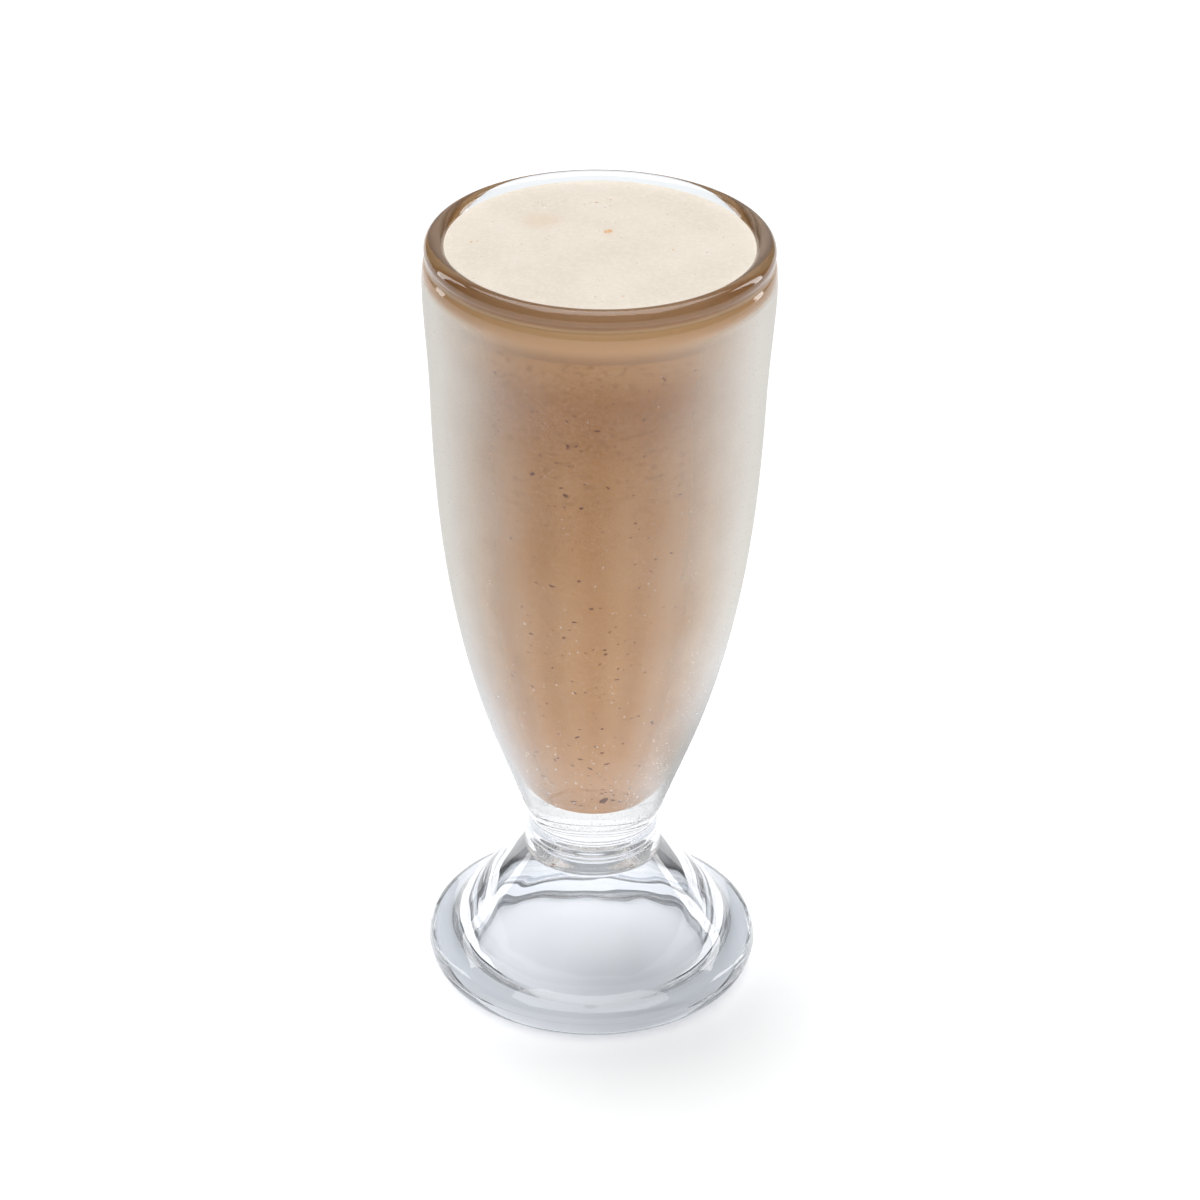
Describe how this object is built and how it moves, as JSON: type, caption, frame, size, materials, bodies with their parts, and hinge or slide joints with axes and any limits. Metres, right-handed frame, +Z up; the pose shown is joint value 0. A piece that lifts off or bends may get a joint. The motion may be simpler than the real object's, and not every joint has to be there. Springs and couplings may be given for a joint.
{
  "type": "chocolate hazelnut milkshake in a footed glass",
  "caption": "Tall footed glass with a rounded rim, a waisted stem and a hollow domed foot, filled nearly to the brim with tan milkshake under pale froth.",
  "frame": {"origin": "on the table, under the middle of the foot", "axes": "+Z up along the axis of the glass, -Y towards the side that the picture shows, +X to its right"},
  "size_m": [0.077, 0.077, 0.185],
  "materials": {
    "glass": "clear thick pressed glass, misted and beaded with condensation on the bowl",
    "milkshake": "opaque pale chocolate milk with fine dark specks",
    "froth": "cream-coloured froth with fine bubbles and a few specks"
  },
  "bodies": {
    "root": {"glass": "glass", "milkshake": "milkshake", "froth": "froth"}
  },
  "joints": []
}
